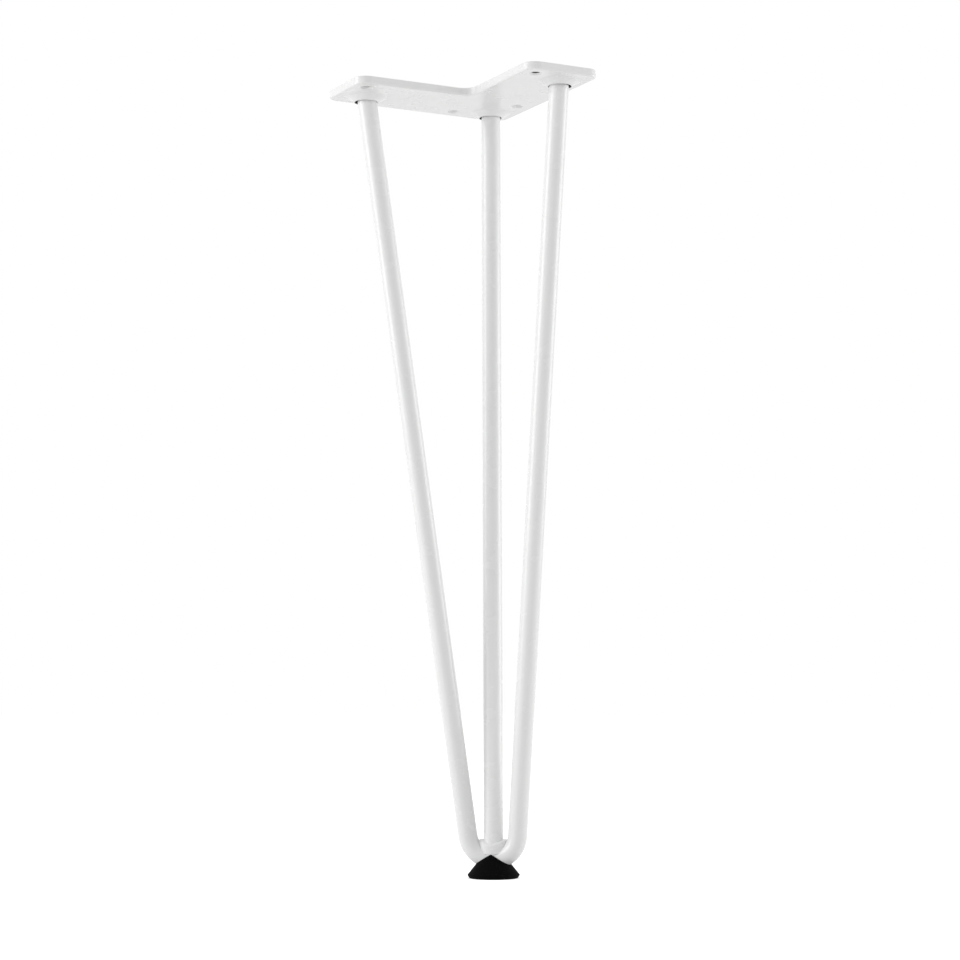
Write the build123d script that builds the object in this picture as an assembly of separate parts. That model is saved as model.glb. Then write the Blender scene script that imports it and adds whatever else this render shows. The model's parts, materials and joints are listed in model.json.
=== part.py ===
from build123d import *
import math
import os

# Three-rod hairpin table leg, in millimetres.
# The origin is on the plate's top face, straight above the centre rod and the foot. +Z is up.
# The plate's corner points to +Y and its two arms run back to the left and the right.

# Whole leg
leg_height = 406.0  # from the plate's top face to the floor

# Mounting plate
plate_thickness = 4.0
arm_length = 103.4  # along the outer edge, from the sharp corner to the arm's end
arm_width = 40.5
arm_turn = 45.0  # degrees between each arm and the plane of symmetry
plate_corner_radius = 8.0  # outside corner between the arms
plate_crook_radius = 7.0  # inside corner between the arms
arm_outer_radius = 5.5  # end corner on the outer edge
arm_inner_radius = 7.0  # end corner on the inner edge
plate_under_round = 0.9  # round of the outline's lower edge
plate_top_round = 0.4

# Screw holes, countersunk from below
screw_hole_diameter = 4.6
screw_head_diameter = 6.4
countersink_angle = 90.0
end_screw_inset = 8.2  # from the arm's end and from its inner edge
corner_screw_along = 33.5  # from the plate's sharp corner
corner_screw_inset = 8.6  # from the outer edge

# Pressed bosses that hold the rods' ends
rod_edge_inset = 14.0  # from the outer edge
rod_end_inset = 16.4  # from the arm's end
rod_hole_diameter = 11.4
boss_base_diameter = 21.0
boss_tip_diameter = 12.6
boss_depth = 2.5  # how far the tip stands out below the plate
boss_base_round = 1.0

# Rods
rod_diameter = 10.0
rod_end_depth = 1.6  # from the top face down to the middle of a rod's end
rod_cross_depth = 3.4  # where a rod's centre line crosses its hole's axis
cope_lip = 1.5  # the centre rod's coped end stops this far above the bend's centre line
bend_radius = 13.5  # hairpin bend, at the rod's centre line

# Welds
weld_sink = 0.2  # the plug welds lie this far below the top face
weld_reach = 1.0  # how far a plug weld runs down between the rod and its hole
bead_top_half_width = 7.8  # bend weld, across the crook
bead_top_half_depth = 5.7  # front to back
bead_root_half_width = 7.4
bead_root_half_depth = 5.25
bead_low = 2.9  # from the bend's lowest centre line up to the bead's root
bead_high = 10.4  # and to its top
bead_crest_radius = 6.4  # the top is an arch from front to back
bead_round = 1.1

# Rubber foot
foot_diameter = 27.2
foot_slope = 51.0  # degrees between the cone's side and the floor
foot_rim_height = 1.7  # from the floor to the widest place
foot_rim_inset = 1.1  # how much smaller the sole is than the widest place
foot_rim_round = 0.6
foot_floor = 4.6  # rubber between the bend and the floor
foot_ridge_height = 12.4  # from the floor to the points in front of and behind the bend
foot_ridge_slope = 30.0  # degrees, down from those points to the left and the right

rod_radius = rod_diameter / 2
corner_y = rod_edge_inset * math.sqrt(2)  # the plate's sharp corner
floor_z = -leg_height
underside_z = -plate_thickness
bend_bottom_z = floor_z + foot_floor + rod_radius  # lowest point of the bend's centre line

boss_base_radius = boss_base_diameter / 2
boss_tip_radius = boss_tip_diameter / 2
rod_hole_radius = rod_hole_diameter / 2
boss_slope = boss_depth / (boss_base_radius - boss_tip_radius)
wall_rise = plate_thickness * math.hypot(1, boss_slope)  # sheet thickness, measured upright


def arm_point(side, along, inset):
    """Point on the plate: side is -1 for the left arm and 1 for the right."""
    turn = math.radians(arm_turn)
    x = side * (math.sin(turn) * along - math.cos(turn) * inset)
    y = corner_y - math.cos(turn) * along - math.sin(turn) * inset
    return x, y


def plate_outline():
    crook = arm_width / math.tan(math.radians(arm_turn))
    corners = [
        (0, corner_y),
        arm_point(-1, arm_length, 0),
        arm_point(-1, arm_length, arm_width),
        arm_point(-1, crook, arm_width),
        arm_point(1, arm_length, arm_width),
        arm_point(1, arm_length, 0),
    ]
    face = make_face(Polyline(*corners, close=True))
    rounds = [
        (corners[0], plate_corner_radius),
        (corners[1], arm_outer_radius),
        (corners[2], arm_inner_radius),
        (corners[3], plate_crook_radius),
        (corners[4], arm_inner_radius),
        (corners[5], arm_outer_radius),
    ]
    for corner, radius in rounds:
        nearest = face.vertices().sort_by_distance(Vector(*corner))[0]
        face = fillet(nearest, radius)
    return face


def rod_places():
    along = arm_length - rod_end_inset
    return {
        "left": arm_point(-1, along, rod_edge_inset),
        "right": arm_point(1, along, rod_edge_inset),
        "corner": (0.0, 0.0),
    }


def screw_places():
    end_along = arm_length - end_screw_inset
    end_inset = arm_width - end_screw_inset
    places = []
    for side in (-1, 1):
        places.append(arm_point(side, end_along, end_inset))
        places.append(arm_point(side, corner_screw_along, corner_screw_inset))
    return places


def cone_between(radius_low, z_low, radius_high, z_high):
    middle = (z_low + z_high) / 2
    return Pos(0, 0, middle) * Cone(radius_low, radius_high, z_high - z_low)


def cylinder_between(radius, z_low, z_high):
    middle = (z_low + z_high) / 2
    return Pos(0, 0, middle) * Cylinder(radius, z_high - z_low)


def dimple_height(radius):
    """Height of the dimple's wall, which runs parallel to the boss at the plate's thickness."""
    return underside_z - (boss_base_radius - radius) * boss_slope + wall_rise


def dimple_radius(height):
    return boss_base_radius - (underside_z + wall_rise - height) / boss_slope


def mounting_plate():
    plate = extrude(Pos(0, 0, underside_z) * plate_outline(), plate_thickness)
    plate = fillet(plate.edges().group_by(Axis.Z)[0], plate_under_round)
    plate = fillet(plate.edges().group_by(Axis.Z)[-1], plate_top_round)

    # each boss is a cone pressed down out of the sheet, which leaves a dimple above it
    tip_z = underside_z - boss_depth
    rim_z = underside_z + plate_thickness / 2
    boss = cone_between(boss_tip_radius, tip_z, boss_base_radius, underside_z)
    boss += cylinder_between(boss_base_radius, underside_z, rim_z)
    dimple = cone_between(rod_hole_radius, dimple_height(rod_hole_radius), dimple_radius(0), 0)
    hole = cylinder_between(rod_hole_radius, tip_z, 0)
    places = [Pos(x, y, 0) for x, y in rod_places().values()]
    plate += [place * boss for place in places]
    base_edges = plate.edges().filter_by(GeomType.CIRCLE)
    base_edges = base_edges.filter_by(lambda edge: abs(edge.radius - boss_base_radius) < 0.01)
    plate = fillet(base_edges, boss_base_round)
    plate -= [place * (dimple + hole) for place in places]

    head_radius = screw_head_diameter / 2
    shank_radius = screw_hole_diameter / 2
    sink_depth = (head_radius - shank_radius) / math.tan(math.radians(countersink_angle / 2))
    sink = cone_between(head_radius, underside_z, shank_radius, underside_z + sink_depth)
    shank = cylinder_between(shank_radius, underside_z, 0)
    plate -= [Pos(x, y, 0) * (sink + shank) for x, y in screw_places()]
    return plate


def hairpin_plane():
    """Plane of the hairpin's centre line, with its origin at the middle of the bend."""
    leg_x, leg_y = rod_places()["right"]
    lowest = Vector(0, 0, bend_bottom_z)
    highest = Vector(0, leg_y, -rod_cross_depth)
    up = (highest - lowest).normalized()
    side = Vector(1, 0, 0)
    return Plane(origin=lowest + up * bend_radius, x_dir=side, z_dir=side.cross(up))


def hairpin_rod():
    plane = hairpin_plane()
    leg_x, leg_y = rod_places()["right"]
    crossing = plane.to_local_coords(Vector(leg_x, leg_y, -rod_cross_depth))
    # a leg runs from where it crosses its hole's axis, straight to its tangent on the bend
    reach = math.hypot(crossing.X, crossing.Y)
    tangent_angle = math.atan2(crossing.Y, crossing.X) - math.acos(bend_radius / reach)
    tangent_x = bend_radius * math.cos(tangent_angle)
    tangent_y = bend_radius * math.sin(tangent_angle)
    leg_length = math.sqrt(reach**2 - bend_radius**2)
    rise = plane.from_local_coords(Vector(-math.sin(tangent_angle), math.cos(tangent_angle), 0))
    rise_z = rise.Z - plane.origin.Z
    leg_length += (rod_cross_depth - rod_end_depth) / rise_z
    top_x = tangent_x - math.sin(tangent_angle) * leg_length
    top_y = tangent_y + math.cos(tangent_angle) * leg_length

    left_leg = Line((-top_x, top_y), (-tangent_x, tangent_y))
    bend = ThreePointArc((-tangent_x, tangent_y), (0, -bend_radius), (tangent_x, tangent_y))
    right_leg = Line((tangent_x, tangent_y), (top_x, top_y))
    path = plane * Wire([left_leg, bend, right_leg])
    section = Plane(origin=path @ 0, z_dir=path % 0) * Circle(rod_radius)
    return sweep(section, path=path)


def centre_rod(hairpin):
    """Straight rod whose lower end is coped to sit in the crook of the bend."""
    low = bend_bottom_z + cope_lip
    rod = cylinder_between(rod_radius, low, -rod_end_depth)
    return rod - hairpin


def bend_weld(hairpin, centre):
    """Bead that fills the crook round the centre rod, with its root just above the foot."""
    root = Pos(0, 0, bead_low) * Ellipse(bead_root_half_width, bead_root_half_depth)
    top = Pos(0, 0, bead_high) * Ellipse(bead_top_half_width, bead_top_half_depth)
    crest = Pos(0, 0, bead_high - bead_crest_radius) * Rotation(0, 90, 0)
    crest *= Cylinder(bead_crest_radius, 2 * (bead_top_half_width + bead_round))
    bead = loft([root, top]) & crest
    above_root = bead_low + bead_round
    rim_edges = bead.edges().filter_by(lambda edge: edge.bounding_box().min.Z > above_root)
    bead = Pos(0, 0, bend_bottom_z) * fillet(rim_edges, bead_round)
    return bead - hairpin - centre


def plug_weld(place, rod):
    """Weld that fills a dimple from above, round and over the rod's end."""
    top_z = -weld_sink
    throat_z = dimple_height(rod_hole_radius)
    weld = cone_between(rod_hole_radius, throat_z, dimple_radius(top_z), top_z)
    weld += cylinder_between(rod_hole_radius, throat_z - weld_reach, throat_z)
    return Pos(*place, 0) * weld - rod


def rubber_foot(steel):
    """Cone with a small rim below its widest place, moulded to the bend and cut like a roof."""
    widest = foot_diameter / 2
    sole = widest - foot_rim_inset
    rim_z = floor_z + foot_rim_height
    outline = Polyline(
        (0, floor_z),
        (sole, floor_z),
        (widest, rim_z),
        (0, rim_z + widest * math.tan(math.radians(foot_slope))),
        close=True,
    )
    profile = make_face(outline)
    rim = profile.vertices().filter_by(lambda corner: corner.X > sole - foot_rim_round)
    cone = revolve(Plane.XZ * fillet(rim, foot_rim_round), Axis.Z)
    eaves_z = floor_z + foot_ridge_height - widest * math.tan(math.radians(foot_ridge_slope))
    roof = Polyline(
        (0, floor_z + foot_ridge_height),
        (-widest, eaves_z),
        (-widest, floor_z),
        (widest, floor_z),
        (widest, eaves_z),
        close=True,
    )
    cone &= extrude(make_face(Plane.XZ * roof), widest, both=True)
    for piece in steel:
        cone -= piece
    return cone


def build_leg():
    places = rod_places()
    hairpin = hairpin_rod()
    centre = centre_rod(hairpin)
    weld = bend_weld(hairpin, centre)
    return {
        "mounting_plate": mounting_plate(),
        "hairpin_rod": hairpin,
        "centre_rod": centre,
        "bend_weld": weld,
        "left_plug_weld": plug_weld(places["left"], hairpin),
        "right_plug_weld": plug_weld(places["right"], hairpin),
        "corner_plug_weld": plug_weld(places["corner"], centre),
        "rubber_foot": rubber_foot([hairpin, centre, weld]),
    }


os.makedirs("parts", exist_ok=True)
for name, piece in build_leg().items():
    piece.label = name
    export_step(piece, f"parts/{name}.step")
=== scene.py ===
import json
import math

import bpy
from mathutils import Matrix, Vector


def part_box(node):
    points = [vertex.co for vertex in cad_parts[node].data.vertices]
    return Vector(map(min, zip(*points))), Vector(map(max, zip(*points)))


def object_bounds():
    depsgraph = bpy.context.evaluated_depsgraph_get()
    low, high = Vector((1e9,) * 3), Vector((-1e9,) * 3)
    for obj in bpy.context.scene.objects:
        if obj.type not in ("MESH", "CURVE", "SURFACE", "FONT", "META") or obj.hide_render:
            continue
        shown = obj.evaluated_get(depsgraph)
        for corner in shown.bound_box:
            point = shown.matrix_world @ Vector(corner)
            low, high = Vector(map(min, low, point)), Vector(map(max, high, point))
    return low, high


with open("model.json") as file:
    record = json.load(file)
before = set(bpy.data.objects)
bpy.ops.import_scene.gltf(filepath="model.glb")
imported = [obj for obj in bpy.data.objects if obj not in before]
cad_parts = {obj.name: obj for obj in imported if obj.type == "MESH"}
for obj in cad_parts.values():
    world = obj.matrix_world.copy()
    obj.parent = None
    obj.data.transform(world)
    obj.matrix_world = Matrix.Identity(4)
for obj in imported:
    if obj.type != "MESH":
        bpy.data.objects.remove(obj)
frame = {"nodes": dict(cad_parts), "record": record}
cadLow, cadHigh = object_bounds()
nodes = frame["nodes"]
print("frame loaded:", len(nodes), "pieces")

scene = bpy.context.scene
scene.view_settings.view_transform = "Standard"

# camera, solved from the photograph's edges
camera = {
    "place": (0.34408, -1.14321, -0.30688),
    "turn": (95.1334, 0.1825, 17.074),  # degrees
    "lens": 85.706,
    "sensor": 36,
}


def addCamera():
    data = bpy.data.cameras.new("camera")
    data.lens = camera["lens"]
    data.sensor_width = camera["sensor"]
    holder = bpy.data.objects.new("camera", data)
    holder.location = camera["place"]
    holder.rotation_euler = [math.radians(angle) for angle in camera["turn"]]
    scene.collection.objects.link(holder)
    scene.camera = holder


addCamera()
print("camera set")


# small tools for the node trees
def newMaterial(name):
    material = bpy.data.materials.new(name)
    material.use_nodes = True
    material.node_tree.nodes.clear()
    return material


def addNode(tree, kind, place, values=None):
    node = tree.nodes.new(kind)
    node.location = place
    for socket, value in (values or {}).items():
        node.inputs[socket].default_value = value
    return node


def addMaths(tree, operation, place, first, second):
    node = addNode(tree, "ShaderNodeMath", place)
    node.operation = operation
    for index, value in enumerate((first, second)):
        if isinstance(value, (int, float)):
            node.inputs[index].default_value = value
        else:
            tree.links.new(value, node.inputs[index])
    return node.outputs["Value"]


def addMix(tree, place, factor, first, second):
    node = addNode(tree, "ShaderNodeMix", place)
    node.data_type = "RGBA"
    for socket, value in (("Factor", factor), ("A", first), ("B", second)):
        if isinstance(value, tuple):
            node.inputs[socket].default_value = value
        else:
            tree.links.new(value, node.inputs[socket])
    return node.outputs["Result"]


def addRange(tree, place, value, low, high, start=0.0, stop=1.0):
    node = addNode(tree, "ShaderNodeMapRange", place, {"From Min": start, "From Max": stop})
    tree.links.new(value, node.inputs["Value"])
    for socket, limit in (("To Min", low), ("To Max", high)):
        if isinstance(limit, (int, float)):
            node.inputs[socket].default_value = limit
        else:
            tree.links.new(limit, node.inputs[socket])
    return node.outputs["Result"]


def newGroup(name, takes, gives):
    group = bpy.data.node_groups.new(name, "ShaderNodeTree")
    kinds = {"colour": "NodeSocketColor", "value": "NodeSocketFloat", "vector": "NodeSocketVector"}
    for socket, kind in takes.items():
        group.interface.new_socket(socket, in_out="INPUT", socket_type=kinds[kind])
    for socket, kind in gives.items():
        group.interface.new_socket(socket, in_out="OUTPUT", socket_type=kinds[kind])
    enter = addNode(group, "NodeGroupInput", (-1100, 0))
    leave = addNode(group, "NodeGroupOutput", (600, 0))
    return group, enter.outputs, leave.inputs


def placeGroup(tree, group, place, values=None):
    node = tree.nodes.new("ShaderNodeGroup")
    node.node_tree = group
    node.location = place
    for socket, value in (values or {}).items():
        node.inputs[socket].default_value = value
    return node


# middle of a round piece, seen from above
def middleOf(name):
    low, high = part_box(name)
    return ((low.x + high.x) / 2, (low.y + high.y) / 2, 0)


# shared effect: the orange peel and slight unevenness of a baked powder coat.
# Every Scale in this file is in waves to a metre, and every Distance in metres.
coatPattern = {
    "patches": {"Scale": 22.0, "Detail": 3.0},
    "gloss": {"Scale": 90.0, "Detail": 4.0},
    "glossReach": (0.3, 0.7),  # most of the noise lies between these values
    "peel": {"Detail": 1.5, "Roughness": 0.4},
}


def buildPowderCoat():
    group, enter, leave = newGroup(
        "powderCoat",
        {
            "Vector": "vector",
            "Paint": "colour",
            "Shade": "colour",
            "Peel Scale": "value",
            "Low Roughness": "value",
            "High Roughness": "value",
        },
        {"Color": "colour", "Roughness": "value", "Height": "value"},
    )
    link = group.links.new
    patches = addNode(group, "ShaderNodeTexNoise", (-600, 300), coatPattern["patches"])
    link(enter["Vector"], patches.inputs["Vector"])
    shade = addMix(group, (-200, 300), patches.outputs["Fac"], enter["Paint"], enter["Shade"])
    link(shade, leave["Color"])

    gloss = addNode(group, "ShaderNodeTexNoise", (-600, 0), coatPattern["gloss"])
    link(enter["Vector"], gloss.inputs["Vector"])
    limits = (enter["Low Roughness"], enter["High Roughness"])
    rough = addRange(group, (-200, 0), gloss.outputs["Fac"], *limits, *coatPattern["glossReach"])
    link(rough, leave["Roughness"])

    peel = addNode(group, "ShaderNodeTexNoise", (-600, -300), coatPattern["peel"])
    link(enter["Vector"], peel.inputs["Vector"])
    link(enter["Peel Scale"], peel.inputs["Scale"])
    link(peel.outputs["Fac"], leave["Height"])
    return group


# painted shade deep in the holes and in the gaps round the rods, where the walls lie in shade, in metres.
# A shift moves the place to the left or the right of its hole, toward its shaded side, and the amount is
# 1 where the painted shade is darkest.
endHoles = next(mount for mount in frame["record"]["mounts"] if mount["name"] == "end_holes")
millimetre = 0.001
screwX = endHoles["dims"]["spacing_x_mm"] * millimetre / 2
screwY = endHoles["pos_m"][1]
rodReach = 0.00585  # just past the wall of a rod's hole
screwReach = 0.0024  # and of a screw hole
leftShadeReach = 0.0026
paintedShadeSpots = {
    "cornerRod": {"hole": middleOf("corner_plug_weld"), "shift": -0.0003, "reach": rodReach, "paintedShade": 1.0},
    "leftRod": {"hole": middleOf("left_plug_weld"), "shift": -0.0004, "reach": rodReach, "paintedShade": 1.0},
    "rightRod": {"hole": middleOf("right_plug_weld"), "shift": 0.0004, "reach": rodReach, "paintedShade": 1.0},
    "rightScrew": {"hole": (screwX, screwY, 0), "shift": 0.0, "reach": screwReach, "paintedShade": 1.0},
    # a lighter painted shade on the left wall of this hole
    "leftScrew": {"hole": (-screwX, screwY, 0), "shift": -0.0008, "reach": leftShadeReach, "paintedShade": 0.22},
}
shadeEdgeNoise = {"Scale": 900.0, "Detail": 3.0}
shadeBelow = -0.0004  # the plate's top face gets no painted shade


# mask of the painted shade in the plate's holes and gaps
def buildShadedHoles():
    group, enter, leave = newGroup(
        "paintedHoleShade",
        {"Vector": "vector", "Ragged": "value"},
        {"Mask": "value"},
    )
    link = group.links.new
    flat = addNode(group, "ShaderNodeVectorMath", (-900, 200))  # the height is dropped
    flat.operation = "MULTIPLY"
    flat.inputs[1].default_value = (1, 1, 0)
    link(enter["Vector"], flat.inputs[0])
    edge = addNode(group, "ShaderNodeTexNoise", (-900, -200), shadeEdgeNoise)
    link(enter["Vector"], edge.inputs["Vector"])
    ragged = addMaths(group, "MULTIPLY", (-700, -200), edge.outputs["Fac"], enter["Ragged"])

    mask = 0.0
    for index, spot in enumerate(paintedShadeSpots.values()):
        height = 600 - 200 * index
        x, y, z = spot["hole"]
        away = addNode(group, "ShaderNodeVectorMath", (-500, height))
        away.operation = "DISTANCE"
        link(flat.outputs["Vector"], away.inputs[0])
        away.inputs[1].default_value = (x + spot["shift"], y, z)
        uneven = addMaths(group, "ADD", (-300, height), away.outputs["Value"], ragged)
        within = addMaths(group, "LESS_THAN", (-100, height), uneven, spot["reach"])
        paintedShade = addMaths(group, "MULTIPLY", (100, height), within, spot["paintedShade"])
        mask = addMaths(group, "MAXIMUM", (300, height), mask, paintedShade)
    parts = addNode(group, "ShaderNodeSeparateXYZ", (-900, -400))
    link(enter["Vector"], parts.inputs["Vector"])
    deep = addMaths(group, "LESS_THAN", (-700, -400), parts.outputs["Z"], shadeBelow)
    link(addMaths(group, "MULTIPLY", (450, 0), mask, deep), leave["Mask"])
    return group


# shared effect: the ripples that a weld bead keeps under its paint
ripplePattern = {
    "wander": {"Scale": 300.0, "Detail": 2.0},
    "height": 0.5,  # of a ripple, where one turn of the phase is 1
}


def buildWeldRipples():
    group, enter, leave = newGroup(
        "weldRipples",
        {"Vector": "vector", "Ripples": "value", "Unevenness": "value"},
        {"Height": "value"},
    )
    link = group.links.new
    turn = addNode(group, "ShaderNodeTexGradient", (-900, 200))
    turn.gradient_type = "RADIAL"
    link(enter["Vector"], turn.inputs["Vector"])
    wander = addNode(group, "ShaderNodeTexNoise", (-900, -100), ripplePattern["wander"])
    link(enter["Vector"], wander.inputs["Vector"])
    bent = addMaths(group, "MULTIPLY", (-700, -100), wander.outputs["Fac"], enter["Unevenness"])
    count = addMaths(group, "MULTIPLY", (-700, 200), turn.outputs["Fac"], enter["Ripples"])
    phase = addMaths(group, "ADD", (-500, 100), count, bent)
    link(addMaths(group, "PINGPONG", (-300, 100), phase, ripplePattern["height"]), leave["Height"])
    return group


powderCoat = buildPowderCoat()
shadedHoles = buildShadedHoles()
weldRipples = buildWeldRipples()

# white powder coat on steel, with near-black painted shade in the gaps round the rods and deep in the
# holes
whiteCoat = {
    "Paint": (0.84, 0.84, 0.838, 1),
    "Shade": (0.825, 0.825, 0.825, 1),
    "Peel Scale": 600.0,  # humps to a metre
    "Low Roughness": 0.2,
    "High Roughness": 0.3,
}
coatGloss = 1.5  # index of refraction
coatPeel = {"Strength": 0.3, "Distance": 0.00003}
# near-black paint that stands for the shade in the gaps and deep in the holes
paintedShadeLook = {
    "colour": (0.018, 0.017, 0.016, 1),
    "roughness": 0.7,
    "ragged": 0.00012,  # how uneven the painted shade's edge is, in metres
    "rodTop": 0.0007,  # painted shade darkens a rod's end from this far above its boss's tip
}
weldBeads = {
    "bend_weld": {"around": "centre_rod", "ripples": 26.0, "unevenness": 1.6},
    "corner_plug_weld": {"around": "corner_plug_weld", "ripples": 30.0, "unevenness": 3.0},
    "left_plug_weld": {"around": "left_plug_weld", "ripples": 30.0, "unevenness": 3.0},
    "right_plug_weld": {"around": "right_plug_weld", "ripples": 30.0, "unevenness": 3.0},
}
weldSwell = {"Strength": 0.6, "Distance": 0.00025}


# mask of the painted shade: the plate's holes, or the end of a rod inside its boss
def addPaintedShadeMask(tree, where, paintedShade):
    if paintedShade == "holes":
        spots = placeGroup(tree, shadedHoles, (-900, -150), {"Ragged": paintedShadeLook["ragged"]})
        tree.links.new(where, spots.inputs["Vector"])
        return spots.outputs["Mask"]
    parts = addNode(tree, "ShaderNodeSeparateXYZ", (-900, -150))
    tree.links.new(where, parts.inputs["Vector"])
    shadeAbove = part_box("mounting_plate")[0].z + paintedShadeLook["rodTop"]
    return addMaths(tree, "GREATER_THAN", (-700, -150), parts.outputs["Z"], shadeAbove)


# normal of a weld bead, rippled round its own middle
def addBeadNormal(tree, where, bead):
    middle = {"Location": middleOf(bead["around"])}
    centred = addNode(tree, "ShaderNodeMapping", (-900, -450), middle)
    centred.vector_type = "TEXTURE"
    tree.links.new(where, centred.inputs["Vector"])
    ripples = placeGroup(tree, weldRipples, (-700, -450), {
        "Ripples": bead["ripples"],
        "Unevenness": bead["unevenness"],
    })
    tree.links.new(centred.outputs["Vector"], ripples.inputs["Vector"])
    swell = addNode(tree, "ShaderNodeBump", (-300, -450), weldSwell)
    tree.links.new(ripples.outputs["Height"], swell.inputs["Height"])
    return swell.outputs["Normal"]


def finishSteel(name, paintedShade=None, bead=None):
    material = newMaterial(name)
    tree = material.node_tree
    link = tree.links.new
    where = addNode(tree, "ShaderNodeTexCoord", (-1300, 0)).outputs["Object"]
    shader = addNode(tree, "ShaderNodeBsdfPrincipled", (100, 0), {"IOR": coatGloss})
    coat = placeGroup(tree, powderCoat, (-900, 200), whiteCoat)
    link(where, coat.inputs["Vector"])
    colour, rough = coat.outputs["Color"], coat.outputs["Roughness"]
    if paintedShade:
        mask = addPaintedShadeMask(tree, where, paintedShade)
        colour = addMix(tree, (-300, 200), mask, colour, paintedShadeLook["colour"])
        rough = addRange(tree, (-300, 0), mask, rough, paintedShadeLook["roughness"])
    link(colour, shader.inputs["Base Color"])
    link(rough, shader.inputs["Roughness"])

    peel = addNode(tree, "ShaderNodeBump", (-100, -300), coatPeel)
    link(coat.outputs["Height"], peel.inputs["Height"])
    if bead:
        link(addBeadNormal(tree, where, bead), peel.inputs["Normal"])
    link(peel.outputs["Normal"], shader.inputs["Normal"])
    end = addNode(tree, "ShaderNodeOutputMaterial", (400, 0))
    link(shader.outputs["BSDF"], end.inputs["Surface"])
    return material


# black rubber of the foot, with a faint grey bloom and a fine moulded grain
blackRubber = {
    "colour": (0.001, 0.001, 0.0011, 1),
    "bloomed": (0.003, 0.003, 0.0032, 1),
    "bloom": {"Scale": 140.0, "Detail": 5.0},
    "grain": {"Scale": 2600.0, "Detail": 2.0},
    "grainBump": {"Strength": 0.5, "Distance": 0.00003},
    "roughness": (0.6, 0.75),
    "gloss": 0.03,  # specular level
}


def finishRubber():
    material = newMaterial("blackRubber")
    tree = material.node_tree
    link = tree.links.new
    where = addNode(tree, "ShaderNodeTexCoord", (-900, 0)).outputs["Object"]
    bloom = addNode(tree, "ShaderNodeTexNoise", (-700, 200), blackRubber["bloom"])
    link(where, bloom.inputs["Vector"])
    mask = bloom.outputs["Fac"]
    colour = addMix(tree, (-300, 250), mask, blackRubber["colour"], blackRubber["bloomed"])
    rough = addRange(tree, (-300, 0), mask, *blackRubber["roughness"])
    grain = addNode(tree, "ShaderNodeTexNoise", (-700, -250), blackRubber["grain"])
    link(where, grain.inputs["Vector"])
    bump = addNode(tree, "ShaderNodeBump", (-300, -250), blackRubber["grainBump"])
    link(grain.outputs["Fac"], bump.inputs["Height"])
    gloss = {"Specular IOR Level": blackRubber["gloss"]}
    shader = addNode(tree, "ShaderNodeBsdfPrincipled", (0, 0), gloss)
    link(colour, shader.inputs["Base Color"])
    link(rough, shader.inputs["Roughness"])
    link(bump.outputs["Normal"], shader.inputs["Normal"])
    end = addNode(tree, "ShaderNodeOutputMaterial", (300, 0))
    link(shader.outputs["BSDF"], end.inputs["Surface"])
    return material


finishes = {
    "mounting_plate": finishSteel("coatedPlate", paintedShade="holes"),
    "hairpin_rod": finishSteel("coatedRod", paintedShade="rodTop"),
    "rubber_foot": finishRubber(),
}
finishes["centre_rod"] = finishes["hairpin_rod"]
for name, bead in weldBeads.items():
    finishes[name] = finishSteel("coated_" + name, bead=bead)
for name, piece in nodes.items():
    piece.data.materials.clear()
    piece.data.materials.append(finishes[name])
print("finishes applied")

# studio: a white floor and sky, and soft lamps that stand at the sides and hang above
studio = {
    "floorSize": 12.0,
    "floorWhite": 0.9,
    "floorLift": 0.5,  # extra white, for the camera and for reflections
    "sky": 0.63,  # the light that reaches the leg
    "seenSky": 1.0,  # white, for the camera and for reflections
    "aim": (0, -0.03, -0.2),
}
lamps = {  # power in watts, size as width and height in metres
    "keyLamp": {"place": (-1.58, -0.82, 0.09), "power": 12.8, "size": (1.0, 1.0)},
    "rimLamp": {"place": (1.62, 0.6, -0.05), "power": 9.0, "size": (1.2, 0.7)},
    "topLamp": {"place": (0, 0, 3.0), "power": 12.0, "size": (2.5, 2.5)},
}


# 1 where the camera or a reflection looks, 0 for the light that falls on the leg
def addSeenMask(tree, place):
    path = addNode(tree, "ShaderNodeLightPath", place).outputs
    beside = (place[0] + 200, place[1])
    return addMaths(tree, "MAXIMUM", beside, path["Is Camera Ray"], path["Is Glossy Ray"])


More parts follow.
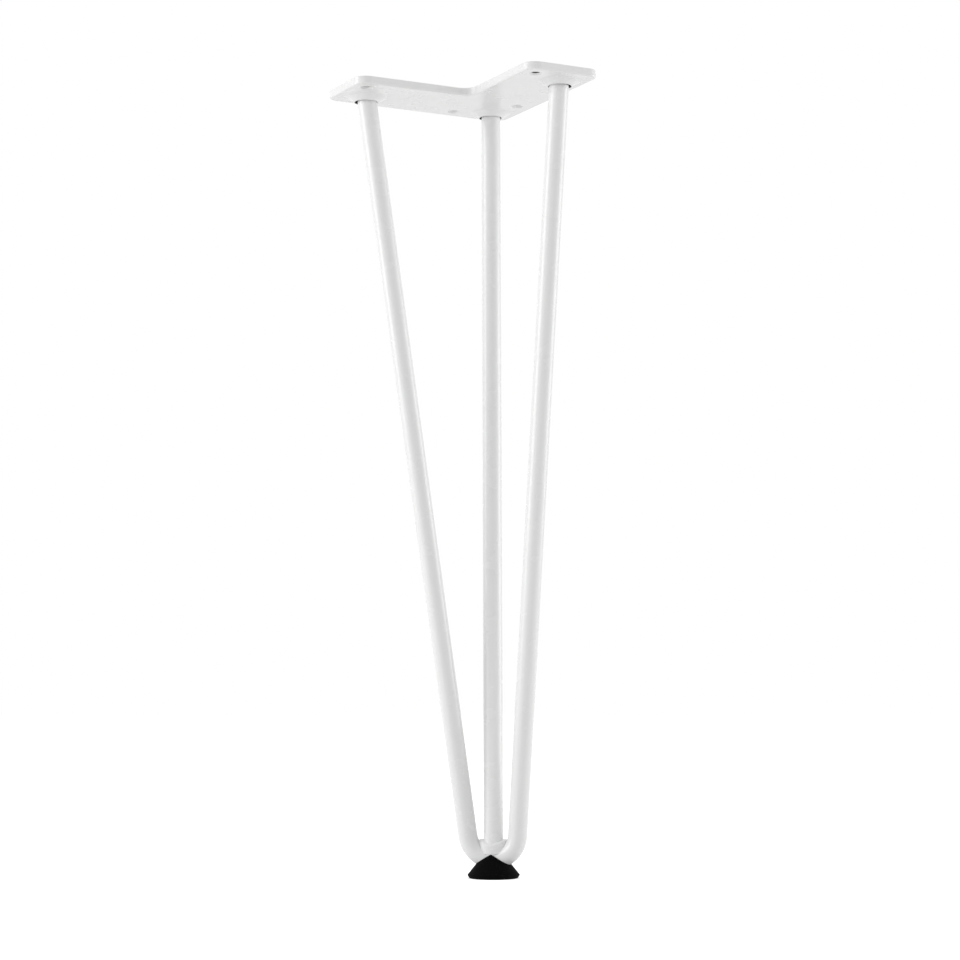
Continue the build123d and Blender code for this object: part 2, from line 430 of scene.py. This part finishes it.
def addFloor():
    bpy.ops.object.select_all(action="DESELECT")
    bpy.ops.mesh.primitive_plane_add(size=studio["floorSize"], location=(0, 0, cadLow.z))
    floor = bpy.context.active_object
    floor.name = "floor"
    bpy.ops.object.transform_apply(location=True, rotation=True, scale=True)
    material = newMaterial("floorWhite")
    tree = material.node_tree
    link = tree.links.new
    white = studio["floorWhite"]
    matt = addNode(tree, "ShaderNodeBsdfDiffuse", (-300, 100), {"Color": (white, white, white, 1)})
    seen = addSeenMask(tree, (-800, -100))
    lift = addMaths(tree, "MULTIPLY", (-400, -100), seen, studio["floorLift"])
    glow = addNode(tree, "ShaderNodeEmission", (-200, -100))
    link(lift, glow.inputs["Strength"])
    both = addNode(tree, "ShaderNodeAddShader", (0, 0))
    link(matt.outputs["BSDF"], both.inputs[0])
    link(glow.outputs["Emission"], both.inputs[1])
    end = addNode(tree, "ShaderNodeOutputMaterial", (200, 0))
    link(both.outputs["Shader"], end.inputs["Surface"])
    floor.data.materials.append(material)


def addSky():
    world = bpy.data.worlds.new("studio")
    scene.world = world
    world.use_nodes = True
    tree = world.node_tree
    tree.nodes.clear()
    seen = addSeenMask(tree, (-700, 0))
    strength = addRange(tree, (-300, 0), seen, studio["sky"], studio["seenSky"])
    glow = addNode(tree, "ShaderNodeBackground", (-100, 0), {"Color": (1, 1, 1, 1)})
    tree.links.new(strength, glow.inputs["Strength"])
    end = addNode(tree, "ShaderNodeOutputWorld", (100, 0))
    tree.links.new(glow.outputs["Background"], end.inputs["Surface"])


def addLamp(name, facts):
    data = bpy.data.lights.new(name, "AREA")
    data.shape = "RECTANGLE"
    data.energy = facts["power"]
    data.size, data.size_y = facts["size"]
    lamp = bpy.data.objects.new(name, data)
    lamp.location = facts["place"]
    away = Vector(facts["place"]) - Vector(studio["aim"])
    lamp.rotation_euler = away.to_track_quat("Z", "Y").to_euler()
    scene.collection.objects.link(lamp)


addFloor()
addSky()
for name, facts in lamps.items():
    addLamp(name, facts)
print("studio set")
